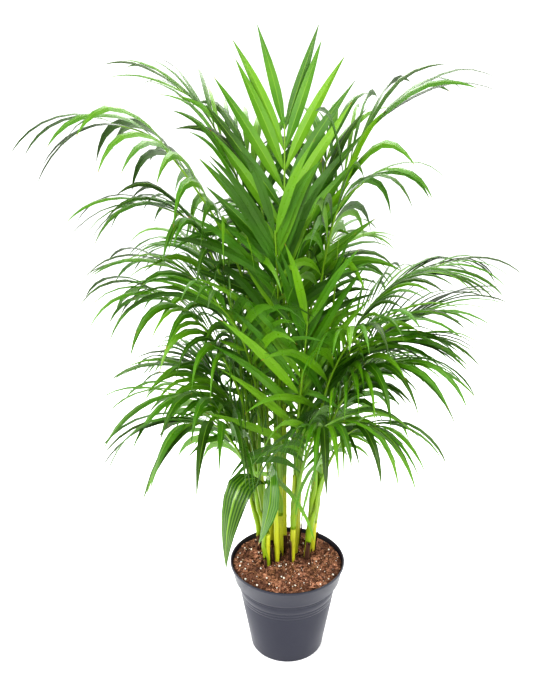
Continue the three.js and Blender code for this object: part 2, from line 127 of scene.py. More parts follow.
def toPiece(name, bm, materials, nodes=(), outward=True):
    bmesh.ops.remove_doubles(bm, verts=bm.verts, dist=1e-5)
    if outward:
        bmesh.ops.recalc_face_normals(bm, faces=bm.faces)
    mesh = bpy.data.meshes.new(name)
    bm.to_mesh(mesh)
    bm.free()
    for material in materials:
        mesh.materials.append(material)
    piece = bpy.data.objects.new(name, mesh)
    bpy.context.scene.collection.objects.link(piece)
    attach(piece, "root")
    if nodes:
        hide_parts(*nodes)
    return piece


# materials

class Recipe:
    # one material: its node tree and short ways to add to it
    def __init__(self, name, **fixed):
        self.material = bpy.data.materials.new(name)
        self.material.use_nodes = True
        self.tree = self.material.node_tree
        self.shader = self.tree.nodes["Principled BSDF"]
        self.put(self.shader, fixed)
        self.coords = self.add("ShaderNodeTexCoord")

    def put(self, node, values):
        for key, value in values.items():
            socket = node.inputs[key.replace("_", " ")] if isinstance(key, str) else node.inputs[key]
            if hasattr(value, "links"):
                self.tree.links.new(value, socket)
            else:
                socket.default_value = value

    def add(self, kind, values=None, **settings):
        node = self.tree.nodes.new(kind)
        for key, value in settings.items():
            setattr(node, key, value)
        self.put(node, values or {})
        return node

    def sums(self, operation, first, second=0.0, clamp=False):
        values = {0: first, 1: second}
        return self.add("ShaderNodeMath", values, operation=operation, use_clamp=clamp).outputs[0]

    def ramp(self, factor, stops, ease="LINEAR"):
        node = self.add("ShaderNodeValToRGB", {0: factor})
        node.color_ramp.interpolation = ease
        elements = node.color_ramp.elements
        while len(elements) < len(stops):
            elements.new(0.5)
        for element, (place, colour) in zip(elements, stops):
            element.position = place
            element.color = colour
        return node.outputs[0]

    def blend(self, factor, first, second, kind="MIX"):
        node = self.add("ShaderNodeMix", data_type="RGBA", blend_type=kind)
        self.put(node, {0: factor, 6: first, 7: second})
        return node.outputs[2]

    def place(self, scale=(1, 1, 1), source="Object"):
        values = {"Vector": self.coords.outputs[source], "Scale": scale}
        return self.add("ShaderNodeMapping", values).outputs[0]

    def noise(self, scale, detail=3.0, stretch=(1, 1, 1), roughness=0.55):
        values = {"Vector": self.place(stretch), "Scale": scale}
        values.update({"Detail": detail, "Roughness": roughness})
        return self.add("ShaderNodeTexNoise", values).outputs[0]

    def bump(self, height, strength, distance):
        values = {"Height": height, "Strength": strength, "Distance": distance}
        self.put(self.shader, {"Normal": self.add("ShaderNodeBump", values).outputs[0]})


def tint(red, green, blue):  # from screen values of 0 to 255
    def linear(value):
        value /= 255
        return value / 12.92 if value <= 0.04045 else ((value + 0.055) / 1.055) ** 2.4
    return (linear(red), linear(green), linear(blue), 1)


def grey(value):
    return (value, value, value, 1)


black, white = grey(0), grey(1)

leafFinish = {
    "deep": tint(24, 54, 6), "mid": tint(64, 118, 12), "young": tint(116, 162, 30),
    "vein": tint(140, 176, 58), "dry": tint(150, 112, 46), "behind": tint(124, 160, 26),
    "roughness": 0.3, "grain": 0.16, "throughShare": 0.13, "veins": 9, "veinShare": 0.16,
    # radii and shares of painted light and shade: brighter near the axis, darker further out
    "innerRadius": 0.05, "outerRadius": 0.32, "innerPaintedLight": 0.12, "outerPaintedShade": -0.14,
}


def leafMaterial(name, finish):
    recipe = Recipe(name, Specular_IOR_Level=0.4, Coat_Weight=0.1, Coat_Roughness=0.2)
    parts = recipe.add("ShaderNodeSeparateXYZ", {0: recipe.coords.outputs["UV"]})
    around, counted = parts.outputs[0], parts.outputs[1]
    along = recipe.sums("FRACT", counted)
    number = recipe.sums("FLOOR", counted)
    leafNoise = recipe.add("ShaderNodeTexWhiteNoise", {"W": number}, noise_dimensions="1D").outputs[0]
    across = recipe.sums("PINGPONG", recipe.sums("ADD", around, 0.25), 0.5)  # 0.5 on the midrib
    offRib = recipe.sums("ABSOLUTE", recipe.sums("SUBTRACT", across, 0.5))
    patches = recipe.noise(9.0, detail=2.0)
    patched = recipe.sums("MULTIPLY", patches, 0.5)
    # painted light and shade: leaflets near the plant's axis are brightened as if lit through from
    # behind, and outer ones darkened; the darker outside is partly the older leaves' own duller colour
    flat = recipe.place((1, 1, 0))
    away = recipe.add("ShaderNodeVectorMath", {0: flat}, operation="LENGTH").outputs["Value"]
    spread = {1: finish["innerRadius"], 2: finish["outerRadius"]}
    spread.update({0: away, 3: finish["innerPaintedLight"], 4: finish["outerPaintedShade"]})
    outer = recipe.add("ShaderNodeMapRange", spread).outputs[0]
    varied = recipe.sums("ADD", recipe.sums("MULTIPLY", leafNoise, 0.5), patched)
    shade = recipe.sums("ADD", varied, outer)
    body = recipe.ramp(shade, [(0.22, finish["deep"]), (0.52, finish["mid"]), (0.86, finish["young"])])
    stripes = recipe.sums("SINE", recipe.sums("MULTIPLY", offRib, 2 * math.pi * finish["veins"] * 4))
    fine = recipe.sums("MULTIPLY_ADD", stripes, 0.5)
    veinShare = recipe.sums("MULTIPLY", fine, finish["veinShare"], clamp=True)
    veined = recipe.blend(veinShare, body, finish["vein"])
    rib = recipe.ramp(offRib, [(0.0, white), (0.022, black)])
    ribbed = recipe.blend(recipe.sums("MULTIPLY", rib, 0.75), veined, finish["vein"])
    age = recipe.sums("ADD", along, recipe.sums("MULTIPLY", recipe.noise(60.0), 0.12))
    dryness = recipe.ramp(age, [(0.985, black), (1.04, white)])
    dryShare = recipe.sums("MULTIPLY", dryness, recipe.sums("GREATER_THAN", leafNoise, 0.45))
    colour = recipe.blend(dryShare, ribbed, finish["dry"])
    grain = recipe.sums("MULTIPLY", recipe.noise(140.0), finish["grain"])
    rough = recipe.sums("ADD", grain, finish["roughness"] - finish["grain"] / 2)
    recipe.put(recipe.shader, {"Base Color": colour, "Roughness": rough})
    recipe.bump(stripes, 0.35, 0.0003)
    through = recipe.add("ShaderNodeBsdfTranslucent")
    glow = recipe.blend(0.55, colour, finish["behind"])
    recipe.put(through, {"Color": glow})
    layers = {0: finish["throughShare"], 1: recipe.shader.outputs[0], 2: through.outputs[0]}
    both = recipe.add("ShaderNodeMixShader", layers)
    output = recipe.tree.nodes["Material Output"]
    recipe.put(output, {"Surface": both.outputs[0]})
    return recipe.material


stalkFinish = {
    "low": tint(188, 190, 34), "high": tint(112, 152, 20), "fleck": tint(90, 98, 24),
    "fromHeight": 0.2, "toHeight": 0.75, "roughness": 0.38,
}


def heightShare(recipe, low, high):
    height = recipe.add("ShaderNodeSeparateXYZ", {0: recipe.coords.outputs["Object"]}).outputs[2]
    node = recipe.add("ShaderNodeMapRange", {0: height, 1: low, 2: high})
    return node.outputs[0]


def stalkMaterial(name, finish):
    recipe = Recipe(name, Coat_Weight=0.15, Coat_Roughness=0.3)
    climb = heightShare(recipe, finish["fromHeight"], finish["toHeight"])
    varied = recipe.sums("ADD", climb, recipe.sums("MULTIPLY_ADD", recipe.noise(14.0), 0.5))
    body = recipe.ramp(varied, [(0.1, finish["low"]), (1.1, finish["high"])])
    streaks = recipe.noise(260.0, detail=4.0, stretch=(1, 1, 0.06))
    flecks = recipe.ramp(streaks, [(0.4, black), (0.75, grey(0.5))])
    grained = recipe.blend(flecks, body, finish["fleck"])
    recipe.put(recipe.shader, {"Base Color": grained, "Roughness": finish["roughness"]})
    recipe.bump(streaks, 0.3, 0.0004)
    return recipe.material


caneFinish = {
    "foot": tint(178, 132, 84), "low": tint(178, 182, 44), "high": tint(134, 164, 26),
    "scar": tint(112, 92, 44), "footHeight": 0.174, "lowHeight": 0.215, "highHeight": 0.45,
    "roughness": 0.4,
}


def caneMaterial(name, finish):
    recipe = Recipe(name, Coat_Weight=0.1, Coat_Roughness=0.35)
    low = heightShare(recipe, finish["footHeight"], finish["lowHeight"])
    wander = recipe.sums("MULTIPLY_ADD", recipe.noise(70.0), 0.7)
    edge = recipe.sums("ADD", low, recipe.sums("SUBTRACT", wander, 0.35))
    high = heightShare(recipe, finish["lowHeight"], finish["highHeight"])
    body = recipe.blend(high, finish["low"], finish["high"])
    colour = recipe.blend(recipe.ramp(edge, [(0.25, black), (0.75, white)]), finish["foot"], body)
    streaks = recipe.noise(300.0, detail=5.0, stretch=(1, 1, 0.05))
    flecks = recipe.ramp(streaks, [(0.52, black), (0.74, grey(0.55))])
    recipe.put(recipe.shader, {"Base Color": recipe.blend(flecks, colour, finish["scar"])})
    recipe.put(recipe.shader, {"Roughness": finish["roughness"]})
    recipe.bump(streaks, 0.45, 0.0006)
    return recipe.material


def sheathMaterial(name):
    recipe = Recipe(name, Roughness=0.8)
    streaks = recipe.noise(240.0, detail=5.0, stretch=(1, 1, 0.07))
    shades = [(0.35, tint(44, 26, 18)), (0.55, tint(96, 64, 44)), (0.8, tint(186, 142, 106))]
    body = recipe.ramp(streaks, shades)
    patches = recipe.ramp(recipe.noise(30.0), [(0.4, black), (0.65, grey(0.6))])
    recipe.put(recipe.shader, {"Base Color": recipe.blend(patches, body, tint(66, 40, 28))})
    recipe.bump(streaks, 0.7, 0.0008)
    return recipe.material


def soilMaterial(name, dark, light, scale, distance):
    recipe = Recipe(name, Roughness=0.92, Specular_IOR_Level=0.25)
    grain = recipe.noise(scale, detail=6.0, roughness=0.7)
    clods = recipe.noise(scale * 0.2, detail=2.0)
    body = recipe.ramp(grain, [(0.3, dark), (0.7, light)])
    shaded = recipe.blend(recipe.ramp(clods, [(0.35, grey(0.75)), (0.6, black)]), body, dark)
    recipe.put(recipe.shader, {"Base Color": shaded})
    recipe.bump(grain, 0.8, distance)
    return recipe.material


potFinish = {"base": tint(38, 39, 52), "worn": tint(42, 43, 56), "roughness": 0.34}


def potMaterial(name, finish):
    recipe = Recipe(name, Specular_IOR_Level=0.5)
    clouds = recipe.noise(11.0, detail=4.0)
    drawn = recipe.noise(90.0, detail=3.0, stretch=(1, 1, 0.12))
    rubbed = recipe.ramp(clouds, [(0.35, black), (0.7, grey(0.5))])
    body = recipe.blend(rubbed, finish["base"], finish["worn"])
    recipe.put(recipe.shader, {"Base Color": body, "Roughness": finish["roughness"]})
    fine = recipe.sums("ADD", recipe.noise(900.0, detail=2.0), recipe.sums("MULTIPLY", drawn, 0.6))
    recipe.bump(fine, 0.12, 0.0002)
    return recipe.material


leaf = leafMaterial("areca leaf", leafFinish)
pleatedFinish = {
    **leafFinish, "mid": tint(46, 96, 22), "young": tint(70, 118, 30), "roughness": 0.22,
    "throughShare": 0.06, "veins": 4, "veinShare": 0.34,
}
pleatedLeaf = leafMaterial("pleated early leaf", pleatedFinish)
stalk = stalkMaterial("areca stalk", stalkFinish)
caneSkin = caneMaterial("cane skin", caneFinish)
drySheath = sheathMaterial("dry sheath")
potPlastic = potMaterial("pot plastic", potFinish)
soilTop = soilMaterial("potting soil", tint(46, 28, 22), tint(150, 108, 86), 420.0, 0.0016)
barkSkin = soilMaterial("bark chip", tint(62, 38, 29), tint(212, 160, 130), 190.0, 0.0008)
coirSkin = soilMaterial("coir fibre", tint(120, 78, 50), tint(222, 176, 134), 500.0, 0.0003)
perliteSkin = soilMaterial("perlite grain", tint(206, 200, 188), tint(246, 244, 238), 900.0, 0.0004)
print("materials made")


# camera, floor and lights

cameraSet = {"place": (-0.0226, -1.119, 0.936), "down": 17.2, "lens": 36.7, "film": 36.0}


def makeCamera(facts):
    data = bpy.data.cameras.new("photoView")
    data.sensor_fit = "VERTICAL"
    data.sensor_height = facts["film"]
    data.lens = facts["lens"]
    camera = bpy.data.objects.new("photoView", data)
    camera.location = facts["place"]
    camera.rotation_euler = (math.radians(90 - facts["down"]), 0, 0)
    bpy.context.scene.collection.objects.link(camera)
    bpy.context.scene.camera = camera


def makeFloor():
    bm = bmesh.new()
    bmesh.ops.create_grid(bm, x_segments=1, y_segments=1, size=6.0)
    mesh = bpy.data.meshes.new("studioFloor")
    bm.to_mesh(mesh)
    bm.free()
    floor = bpy.data.objects.new("studioFloor", mesh)
    recipe = Recipe("studio floor", Roughness=0.9)
    recipe.put(recipe.shader, {"Base Color": grey(0.93)})
    mesh.materials.append(recipe.material)
    bpy.context.scene.collection.objects.link(floor)


lampSet = [
    # place, aimed at, size, watts
    ((-1.5, -1.9, 2.3), (0, 0, 0.6), 1.5, 52),
    ((1.9, -1.4, 1.7), (0, 0, 0.5), 1.5, 30),
    ((0.1, 1.6, 2.4), (0, 0, 0.8), 1.8, 40),
    ((-1.7, 0.5, 0.9), (0, 0, 0.3), 1.0, 14),
]


def makeLamps(rows):
    for number, (place, aim, size, watts) in enumerate(rows):
        data = bpy.data.lights.new(f"softbox_{number + 1}", "AREA")
        data.size = size
        data.energy = watts
        lamp = bpy.data.objects.new(data.name, data)
        lamp.location = place
        lamp.rotation_euler = (Vector(aim) - Vector(place)).to_track_quat("-Z", "Y").to_euler()
        bpy.context.scene.collection.objects.link(lamp)
    world = bpy.data.worlds.new("studio")
    world.use_nodes = True
    world.node_tree.nodes["Background"].inputs[0].default_value = white
    world.node_tree.nodes["Background"].inputs[1].default_value = 1.0
    bpy.context.scene.world = world
    bpy.context.scene.view_settings.view_transform = "Standard"
    bpy.context.scene.view_settings.look = "High Contrast"


makeCamera(cameraSet)
makeFloor()
makeLamps(lampSet)
print("camera, floor and lamps placed")


# the pot

potShape = {
    "height": 0.175, "rim": 0.105, "foot": 0.0675, "wall": 0.0022, "floor": 0.0026,
    "collarFoot": 0.142, "collarRadius": 0.0975, "bodyTop": 0.092, "footRound": 0.003,
    "ringHeights": (0.105, 0.111, 0.117, 0.131, 0.134), "ringDeep": 0.0005, "ringHigh": 0.0009,
    "steps": 160, "holes": 6, "holeRadius": 0.006, "holeCircle": 0.042,
}


def bodyRadius(shape, height):
    share = (height - shape["footRound"]) / (shape["collarFoot"] - shape["footRound"])
    return mix(shape["foot"], shape["bodyTop"], share)


def potProfile(shape):
    points = [(0, 0.0016), (0.0555, 0.0016), (0.0572, 0.0004), (0.0582, 0), (0.0643, 0)]
    points += [(0.0664, 0.0006), (0.0673, 0.0018), (shape["foot"], shape["footRound"])]
    for height in shape["ringHeights"]:
        high = shape["ringHigh"]
        for offset, deep in ((-1.3, 0), (-0.5, 0.85), (0, 1), (0.5, 0.85), (1.3, 0)):
            z = height + offset * high
            points.append((bodyRadius(shape, z) - deep * shape["ringDeep"], z))
    low, radius, wall = shape["collarFoot"], shape["collarRadius"], shape["wall"]
    points += [(shape["bodyTop"] - 0.0001, low - 0.0012), (shape["bodyTop"] + 0.0006, low - 0.0003)]
    points += [(shape["bodyTop"] + 0.0016, low), (radius - 0.0014, low), (radius - 0.0004, low + 0.0004)]
    points += [(radius + 0.0001, low + 0.0014)]
    top, rim = shape["height"], shape["rim"]
    points += [(rim - 0.0024, top - 0.0052), (rim - 0.0016, top - 0.0044), (rim - 0.0003, top - 0.0036)]
    points += [(rim, top - 0.0024), (rim, top - 0.001), (rim - 0.0004, top - 0.0002), (rim - 0.001, top)]
    points += [(rim - wall, top - 0.0001), (rim - wall - 0.0008, top - 0.0012)]
    points += [(radius - wall, low + wall + 0.001), (radius - wall - 0.001, low + wall)]
    innerTop, innerFoot = shape["bodyTop"] - wall, shape["foot"] - wall
    points += [(innerTop, low + wall), (innerTop - 0.0004, low + wall - 0.001)]
    points += [(innerFoot, shape["floor"] + 0.003), (innerFoot - 0.002, shape["floor"])]
    return points + [(0, shape["floor"])]


def spunProfile(bm, points, steps):
    verts = [bm.verts.new((radius, 0, height)) for radius, height in points]
    edges = [bm.edges.new(pair) for pair in zip(verts, verts[1:])]
    bmesh.ops.spin(bm, geom=verts + edges, axis=up, cent=(0, 0, 0), angle=2 * math.pi,
                   steps=steps, use_merge=True)
    bmesh.ops.remove_doubles(bm, verts=bm.verts, dist=1e-6)
    bmesh.ops.recalc_face_normals(bm, faces=bm.faces)


def makePot(shape):
    bm = bmesh.new()
    spunProfile(bm, potProfile(shape), shape["steps"])
    for edge in bm.edges:
        edge.smooth = edge.calc_face_angle(0) < math.radians(40)
    for face in bm.faces:
        face.smooth = True
    pot = toPiece("nursery_pot", bm, [potPlastic], ["pot"])
    cutter = bmesh.new()
    for hole in range(shape["holes"]):
        turn = Matrix.Rotation(2 * math.pi * hole / shape["holes"], 4, "Z")
        spot = turn @ Matrix.Translation((shape["holeCircle"], 0, 0))
        bmesh.ops.create_cone(cutter, cap_ends=True, segments=24, radius1=shape["holeRadius"],
                              radius2=shape["holeRadius"], depth=0.02, matrix=spot)
    mesh = bpy.data.meshes.new("drainCutter")
    cutter.to_mesh(mesh)
    cutter.free()
    tool = bpy.data.objects.new("drainCutter", mesh)
    bpy.context.scene.collection.objects.link(tool)
    cut = pot.modifiers.new("drainHoles", "BOOLEAN")
    cut.object = tool
    cut.operation = "DIFFERENCE"
    cut.solver = "EXACT"
    bpy.context.view_layer.update()
    whole = pot.evaluated_get(bpy.context.evaluated_depsgraph_get())
    done = bpy.data.meshes.new_from_object(whole)
    pot.modifiers.clear()
    pot.data = done
    bpy.data.objects.remove(tool)
    return pot


makePot(potShape)
print("pot made")


# the soil and what lies on it

soilShape = {
    "edge": 0.167, "mound": 0.0152, "steps": 150, "rings": 56, "clod": 0.0046, "crumb": 0.0026,
    "chips": 1900, "perlite": 170, "fibres": 420, "chipsTo": 0.0965, "perliteTo": 0.095,
    "fibresTo": 0.09, "chipLeast": 0.0011, "chipMore": 0.0034, "grainLeast": 0.0005, "grainMore": 0.0017,
    "fibreLong": (0.005, 0.017), "fibreThick": (0.00018, 0.00042), "seed": 11,
}
soilRadius = 0.1002


def soilHeight(x, y):
    share = min(math.hypot(x, y) / soilRadius, 1)
    heap = soilShape["mound"] * fromTable([(0, 1), (0.36, 0.9), (0.72, 0.45), (1, 0)], share)
    big = noise.noise(Vector((x, y, 0.3)) * 55) * soilShape["clod"]
    small = noise.noise(Vector((x, y, 1.7)) * 210) * soilShape["crumb"]
    return soilShape["edge"] + heap + (big + small) * (0.35 + 0.65 * (1 - share ** 6))


def makeSoil(shape):
    bm = bmesh.new()
    inside = [(0, 0.003), (0.0648, 0.003), (0.0893, 0.1443), (0.0948, 0.1445)]
    top = [(soilRadius * (1 - i / shape["rings"]), shape["edge"]) for i in range(shape["rings"] + 1)]
    spunProfile(bm, inside + top, shape["steps"])
    for vert in bm.verts:
        if vert.co.z > shape["edge"] - 1e-4:
            vert.co.z = soilHeight(vert.co.x, vert.co.y)
    for face in bm.faces:
        face.smooth = True
    toPiece("soil_bed", bm, [soilTop], ["potting_soil"])


def soilSpots(dice, count, most):
    for _ in range(count):
        radius = most * math.sqrt(dice.random())
        angle = dice.random() * 2 * math.pi
        x, y = radius * math.cos(angle), radius * math.sin(angle)
        yield Vector((x, y, soilHeight(x, y)))


def anyTurn(dice):
    return Matrix.Rotation(dice.random() * 2 * math.pi, 4, Vector([dice.gauss(0, 1) for _ in range(3)]))


def makeChips(shape, dice):
    bm = bmesh.new()
    for spot in soilSpots(dice, shape["chips"], shape["chipsTo"]):
        long = shape["chipLeast"] + shape["chipMore"] * dice.random() ** 2
        size = Matrix.Diagonal((long, long * dice.uniform(0.35, 0.8), long * dice.uniform(0.2, 0.45), 1))
        stand = Matrix.Translation(spot) @ anyTurn(dice) @ size
        made = bmesh.ops.create_cube(bm, size=1.8, matrix=stand)
        for vert in made["verts"]:
            vert.co += Vector([dice.uniform(-0.22, 0.22) * long for _ in range(3)])
    toPiece("bark_chips", bm, [barkSkin])


def makePerlite(shape, dice):
    bm = bmesh.new()
    for spot in soilSpots(dice, shape["perlite"], shape["perliteTo"]):
        size = shape["grainLeast"] + shape["grainMore"] * dice.random() ** 2
        spot = spot + up * (0.001 + size * 0.5)
        stand = Matrix.Translation(spot)
        made = bmesh.ops.create_icosphere(bm, subdivisions=1, radius=size, matrix=stand)
        for vert in made["verts"]:
            vert.co += Vector([dice.uniform(-0.28, 0.28) * size for _ in range(3)])
    toPiece("perlite_grains", bm, [perliteSkin])


def makeFibres(shape, dice):
    bm = bmesh.new()
    for spot in soilSpots(dice, shape["fibres"], shape["fibresTo"]):
        heading = dice.random() * 2 * math.pi
        long = dice.uniform(*shape["fibreLong"])
        curl = dice.uniform(-1.4, 1.4)
        points = []
        for step in range(5):
            angle = heading + curl * step / 4
            way = Vector((math.cos(angle), math.sin(angle), 0)) * long / 4
            spot = spot + way if step else spot
            x, y = spot.x, spot.y
            rise = 0.0006 + 0.0022 * math.sin(math.pi * step / 4) * dice.random()
            points.append(Vector((x, y, soilHeight(x, y) + rise)))
        thick = dice.uniform(*shape["fibreThick"])
        stations = [(place, squareTo(up, way), way.cross(squareTo(up, way)), thick)
                    for place, way, _ in smoothPath(points, 1)]
        tube(bm, 3, stations, roundSection)
    toPiece("coir_fibres", bm, [coirSkin])


soilDice = random.Random(soilShape["seed"])
makeSoil(soilShape)
makeChips(soilShape, soilDice)
makePerlite(soilShape, soilDice)
makeFibres(soilShape, soilDice)
print("soil made")


# canes

def solidOf(name):
    bm = bmesh.new()
    bm.from_mesh(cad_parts[name].data)
    bmesh.ops.remove_doubles(bm, verts=bm.verts, dist=1e-5)
    return bm


def middle(places):
    return sum(places, Vector()) / len(places)


def ends(name, count):
    # the middles and radii of a straight solid's lowest and highest rows of corners
    bm = solidOf(name)
    places = sorted((vert.co.copy() for vert in bm.verts), key=lambda place: place.z)
    bm.free()
    low, high = middle(places[:count]), middle(places[-count:])
    return low, high, (places[0] - low).length, (places[-1] - high).length


def numbered(prefix):
    names = [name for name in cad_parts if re.fullmatch(prefix + r"_\d+", name)]
    return sorted(names, key=lambda name: int(name.rsplit("_", 1)[1]))


caneShape = {
    "columns": 14, "rowHigh": 0.0045, "swell": 1.16, "swellHigh": 0.016, "soilTop": 0.172,
    "scarEvery": 0.021, "scarDeep": 0.07, "scarSharp": 9,
}
caneRows = {name: ends(name, 6) for name in numbered("cane")}


def caneAt(row, height):
    low, high, lowRadius, highRadius = row
    share = (height - low.z) / (high.z - low.z)
    return mix(low, high, share), mix(lowRadius, highRadius, share)


def makeCane(name, number, shape):
    low, high, _, _ = caneRows[name]
    count = round((high.z - low.z) / shape["rowHigh"])
    axis = (high - low).normalized()
    side = squareTo(Vector((1, 0, 0)), axis)
    rise = axis.cross(side)
    stations = []
    for i in range(count + 1):
        height = mix(low.z, high.z, i / count)
        centre, radius = caneAt(caneRows[name], height)
        above = height - shape["soilTop"]
        swollen = 1 + (shape["swell"] - 1) * math.exp(-max(above, 0) / shape["swellHigh"])
        apart = shape["scarEvery"] * (1 + 0.2 * scatter(number, 5))
        beat = (above + 0.004 * scatter(number, 3)) / apart
        scar = math.exp(-((beat - round(beat)) * shape["scarSharp"]) ** 2)
        stations.append((centre, side, rise, radius * swollen * (1 + shape["scarDeep"] * scar)))
    centre, _, _, radius = stations[-1]
    for beyond, narrowed in ((0.5, 0.8), (0.8, 0.4)):
        stations.append((centre + axis * radius * beyond, side, rise, radius * narrowed))
    bm = bmesh.new()
    tube(bm, shape["columns"], stations, roundSection)
    toPiece(f"areca_{name}", bm, [caneSkin], [name])


for number, name in enumerate(caneRows):
    makeCane(name, number, caneShape)
print("canes made")


sheathShape = {
    "high": (0.012, 0.07), "wrap": (40, 110), "columns": 7, "rows": 6, "thick": 0.00045, "seed": 5,
    "foot": 0.164, "layerHigh": 0.006, "layerOut": 0.0006, "loose": 0.002, "snug": 1.13, "ragged": 0.62,
}


def makeDrySheaths(shape):
    dice = random.Random(shape["seed"])
    bm = bmesh.new()
    for number, row in enumerate(caneRows.values()):
        for layer in range(2 + number % 2):
            high = dice.uniform(*shape["high"])
            wrap = math.radians(dice.uniform(*shape["wrap"]))
            start = dice.random() * 2 * math.pi
            foot = shape["foot"] + shape["layerHigh"] * layer + 0.004 * dice.random()
            ragged = [dice.uniform(shape["ragged"], 1.0) for _ in range(shape["columns"] + 1)]
            half = shape["columns"]

            def place(column, gridRow):
                outer = column <= half
                across = column if outer else 2 * half - column
                share = gridRow / shape["rows"]
                angle = start + wrap * (across / half - 0.5) * (1 - 0.45 * share)
                height = foot + high * share * (ragged[across] if gridRow == shape["rows"] else 1)
                centre, radius = caneAt(row, height)
                inner = radius * shape["snug"] + shape["layerOut"] + shape["layerOut"] * layer
                out = inner + shape["loose"] * share ** 3
                out += shape["thick"] if outer else 0
                return centre + Vector((math.cos(angle), math.sin(angle), 0)) * out

            wrapGrid(bm, 2 * half, shape["rows"], place, sharp=(0, half))
    bmesh.ops.remove_doubles(bm, verts=bm.verts, dist=1e-6)
    rims = [edge for edge in bm.edges if edge.is_boundary]
    bmesh.ops.holes_fill(bm, edges=rims)
    toPiece("dry_sheaths", bm, [drySheath])


makeDrySheaths(sheathShape)
print("dry sheaths made")


# rolled spear leaves

spearShape = {"columns": 16, "steps": 24, "sunk": 0.006, "tip": 0.0006, "belly": 0.0005, "seam": 0.16}


def makeSpear(name, shape):
    bm = solidOf(name)
    places = sorted((vert.co.copy() for vert in bm.verts), key=lambda place: place.z)
    bm.free()
    foot, tip = middle(places[:5]), places[-1]
    radius = (places[0] - foot).length
    axis = (tip - foot).normalized()
    side = squareTo(Vector((1, 0, 0)), axis)
    rise = axis.cross(side)
    stations = []
    for i in range(shape["steps"] + 1):
        share = i / shape["steps"]
        swell = math.sin(math.pi * share) * shape["belly"]
        thick = mix(radius, shape["tip"], share ** 1.4) + swell
        stations.append((mix(foot - axis * shape["sunk"], tip, share), side, rise, thick))

    def rolled(angle, share):  # a seam winds slowly round the roll
        turn = (angle + 5 * share) % (2 * math.pi)
        size = 1 - shape["seam"] * math.exp(-(turn / 0.55) ** 2)
        return size * math.cos(angle), size * math.sin(angle)

    bm = bmesh.new()
    tube(bm, shape["columns"], stations, rolled)
    toPiece(f"areca_{name}", bm, [stalk], [name])


for name in numbered("spear_leaf"):
    makeSpear(name, spearShape)
print("spear leaves made")


# fronds

frondShape = {
    "mostBlades": 80, "stalkColumns": 8, "stalkSteps": 3, "sheathLow": 0.058, "groove": 0.3,
    "leafColumns": 4, "earlyColumns": 18, "fold": 0.34, "thick": 0.0007, "pleat": 0.035, "twist": 58,
    "earlyFold": 0.1, "earlyPleat": 0.045, "farApart": 0.06, "alike": 0.6,
    "fullWidth": 0.8, "betweenWidth": 0.56, "topWidth": 1.0, "wave": 0.012,
    "leftEmpty": 0.3, "sparseAbove": 0.84, "stalkTip": 0.0008, "sheathGap": 0.0004, "sheathStep": 0.0002,
}
# share of a leaflet's length, share of its full width
leafletOutline = [
    (0, 0.15), (0.04, 0.24), (0.12, 0.55), (0.24, 0.9), (0.36, 1), (0.5, 0.94),
    (0.64, 0.78), (0.77, 0.55), (0.88, 0.3), (0.95, 0.13), (1, 0.0),
]
earlyOutline = [
    (0, 0.1), (0.05, 0.25), (0.14, 0.62), (0.26, 0.92), (0.38, 1), (0.5, 0.97),
    (0.62, 0.86), (0.74, 0.66), (0.85, 0.42), (0.94, 0.18), (1, 0.0),
]
leafletBlade = (frondShape["leafColumns"], leafletOutline, frondShape["fold"], frondShape["pleat"])
earlyBlade = (frondShape["earlyColumns"], earlyOutline, frondShape["earlyFold"], frondShape["earlyPleat"])


def layersFrom(tip, count, barred=()):
    seen = {tip, *barred}
    layers = [[tip]]
    while len(layers) <= count and layers[-1]:
        ahead = []
        for vert in layers[-1]:
            for edge in vert.link_edges:
                other = edge.other_vert(vert)
                if other not in seen:
                    seen.add(other)
                    ahead.append(other)
        layers.append(ahead)
    return layers[1:]


def readSection(verts):
    # the corner between the other two is the keel
    places = [vert.co.copy() for vert in verts]
    spans = [sum((place - other).length for other in places) for place in places]
    keel = places.pop(spans.index(min(spans)))
    return places[0], keel, places[1]


def readFrond(name):
    # a CAD frond's leaflets and stalk, from the corners of its solid
    bm = solidOf(name)
    leaflets, stalkTip, leafVerts, votes = [], None, set(), {}
    for vert in bm.verts:
        if len(vert.link_edges) != 3:
            continue
        near = [edge.other_vert(vert) for edge in vert.link_edges]
        spread = max((a.co - b.co).length for a in near for b in near)
        if min((other.co - vert.co).length for other in near) < spread:
            continue
        layers = layersFrom(vert, 3)
        if [len(layer) for layer in layers] == [3, 3, 4]:
            leafVerts.update([vert, *layers[0], *layers[1]])
            for root in layers[2]:
                votes[root] = votes.get(root, 0) + 1
            waist, widest = readSection(layers[0]), readSection(layers[1])
            if (waist[2] - waist[0]).dot(widest[2] - widest[0]) < 0:
                waist = waist[::-1]
            root = middle([corner.co for corner in layers[2]])
            leaflets.append({"root": root, "widest": widest, "waist": waist, "tip": vert.co.copy()})
        else:
            stalkTip = vert
    rings = []
    for layer in layersFrom(stalkTip, 200, leafVerts):
        if len(layer) == 3:
            rings.append(([vert.co.copy() for vert in layer], [votes.get(vert, 0) for vert in layer]))
    stalkLine = [{"centre": stalkTip.co.copy(), "rise": None, "radius": frondShape["stalkTip"]}]
    bm.free()
    for places, counts in rings:
        centre = middle(places)
        before = stalkLine[-1]["rise"]
        if max(counts) > 1 or before is None:
            top = places[counts.index(max(counts))]
        else:
            top = max(places, key=lambda place: (place - centre).normalized().dot(before))
        rise = (top - centre).normalized()
        ring = {"centre": centre, "rise": rise, "radius": (top - centre).length}
        stalkLine.append({**ring, "rooted": max(counts) > 0})
    stalkLine[0]["rise"] = stalkLine[1]["rise"]
    stalkLine[0]["rooted"] = False
    return leaflets, stalkLine[::-1]


def alongStalk(line, root):
    # which ring of the stalk a leaflet stands at
    return min(range(len(line)), key=lambda i: (line[i]["centre"] - root).length)


